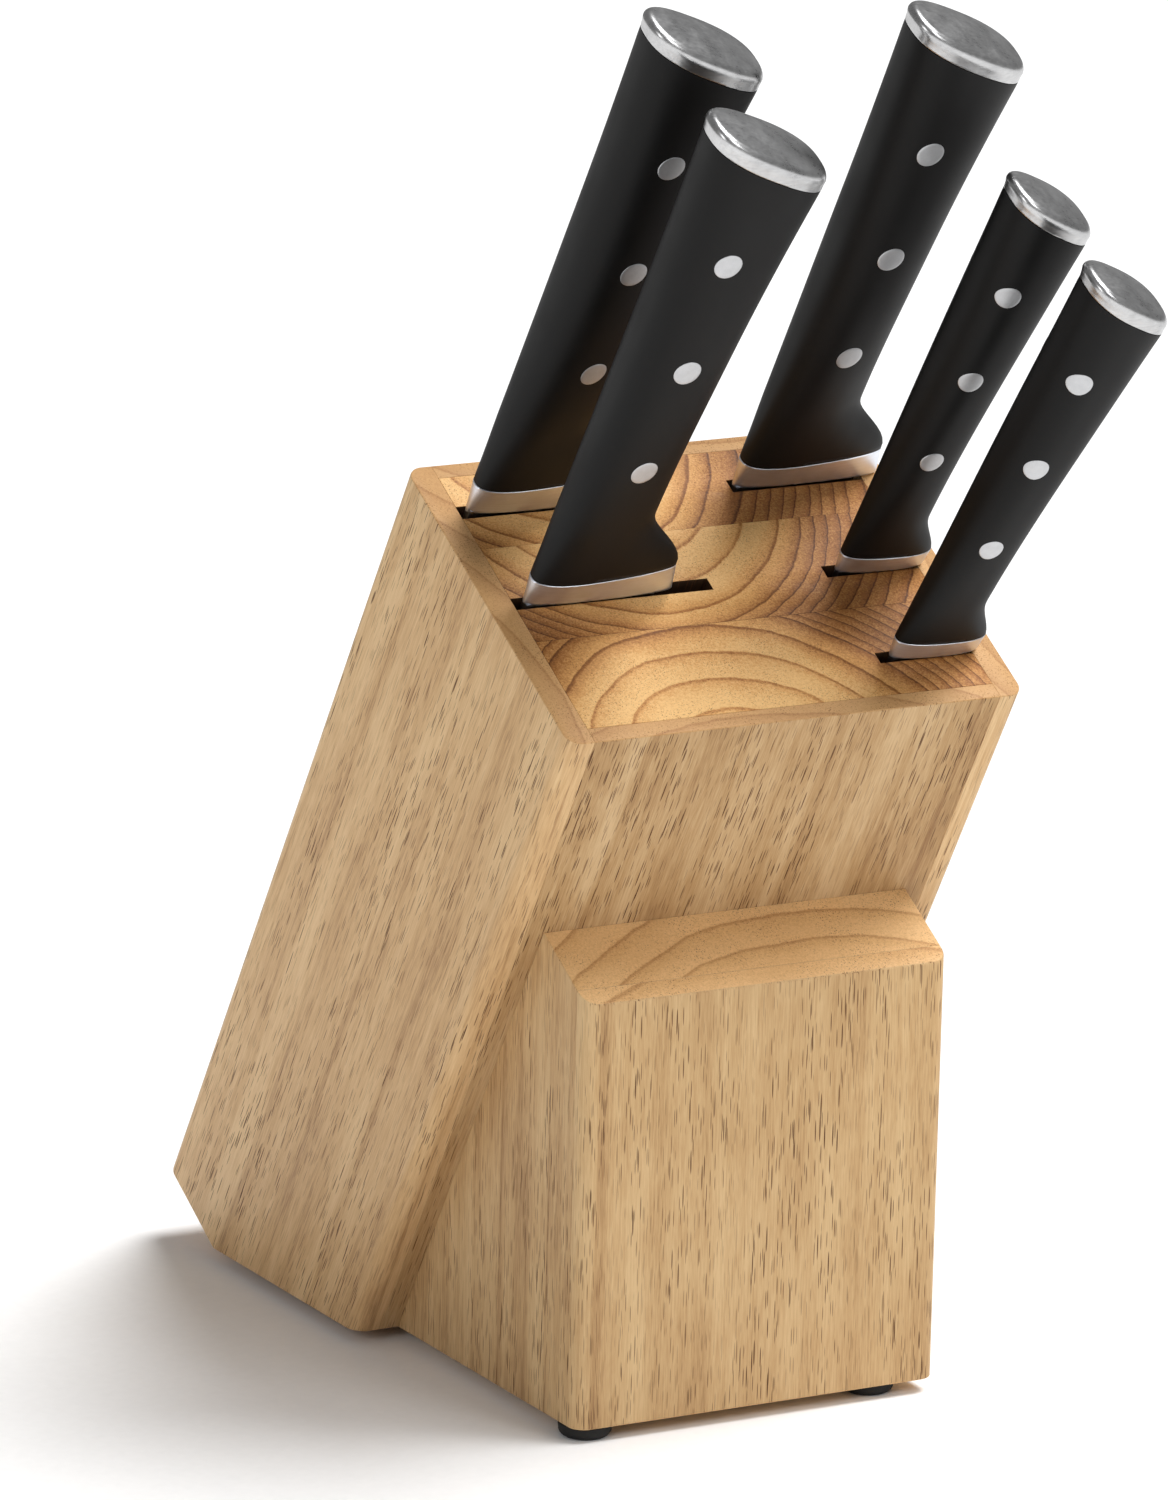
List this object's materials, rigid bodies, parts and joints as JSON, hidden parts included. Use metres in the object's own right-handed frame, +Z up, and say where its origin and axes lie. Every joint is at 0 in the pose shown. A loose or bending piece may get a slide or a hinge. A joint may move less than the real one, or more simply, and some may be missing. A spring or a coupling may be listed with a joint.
{
  "type": "knife block with knives",
  "caption": "Leaning laminated wood knife block with a separate foot block in front; riveted kitchen knives lift out of their own slanted slots.",
  "frame": {"origin": "on the floor under the middle of the bounding box with every knife in its slot", "axes": "+Z up, -Y towards the front where the foot block stands and the knife handles lean, +X to the right seen from the front"},
  "size_m": [0.1158, 0.2219, 0.3032],
  "materials": {
    "side_wood": "satin",
    "face_wood": "satin",
    "core_wood": "satin",
    "foot_wood": "satin",
    "dowel_wood": "matte",
    "rubber": "matte",
    "screw_steel": "satin",
    "blade_steel": "satin",
    "bolster_steel": "satin",
    "handle_plastic": "matte",
    "rivet_steel": "satin",
    "cap_steel": "satin"
  },
  "bodies": {
    "block": {"side_board_left": "side_wood", "side_board_right": "side_wood", "front_skin": "face_wood", "back_skin": "face_wood", "core_front_fore": "core_wood", "core_front_web": "core_wood", "core_front_aft": "core_wood", "core_middle_fore": "core_wood", "core_middle_web": "core_wood", "core_middle_aft": "core_wood", "core_back_fore": "core_wood", "core_back_web": "core_wood", "core_back_aft": "core_wood", "foot_core": "foot_wood", "foot_face": "face_wood", "foot_dowels": "dowel_wood", "foot_front_left": "rubber", "foot_front_right": "rubber", "foot_rear_left": "rubber", "foot_rear_right": "rubber", "foot_screws": "screw_steel"},
    "chef_knife": {"chef_blade": "blade_steel", "chef_bolster": "bolster_steel", "chef_handle": "handle_plastic", "chef_rivets": "rivet_steel", "chef_end_cap": "cap_steel"},
    "bread_knife": {"bread_blade": "blade_steel", "bread_bolster": "bolster_steel", "bread_handle": "handle_plastic", "bread_rivets": "rivet_steel", "bread_end_cap": "cap_steel"},
    "carving_knife": {"carving_blade": "blade_steel", "carving_bolster": "bolster_steel", "carving_handle": "handle_plastic", "carving_rivets": "rivet_steel", "carving_end_cap": "cap_steel"},
    "utility_knife": {"utility_blade": "blade_steel", "utility_bolster": "bolster_steel", "utility_handle": "handle_plastic", "utility_rivets": "rivet_steel", "utility_end_cap": "cap_steel"},
    "paring_knife": {"paring_blade": "blade_steel", "paring_bolster": "bolster_steel", "paring_handle": "handle_plastic", "paring_rivets": "rivet_steel", "paring_end_cap": "cap_steel"}
  },
  "joints": [
    {"name": "chef_lift", "type": "slide", "parent": "block", "child": "chef_knife", "axis": [0, -0.506, 0.8625], "range_m": [0, 0.212]},
    {"name": "bread_lift", "type": "slide", "parent": "block", "child": "bread_knife", "axis": [0, -0.506, 0.8625], "range_m": [0, 0.202]},
    {"name": "carving_lift", "type": "slide", "parent": "block", "child": "carving_knife", "axis": [0, -0.506, 0.8625], "range_m": [0, 0.212]},
    {"name": "utility_lift", "type": "slide", "parent": "block", "child": "utility_knife", "axis": [0, -0.506, 0.8625], "range_m": [0, 0.142]},
    {"name": "paring_lift", "type": "slide", "parent": "block", "child": "paring_knife", "axis": [0, -0.506, 0.8625], "range_m": [0, 0.102]}
  ]
}
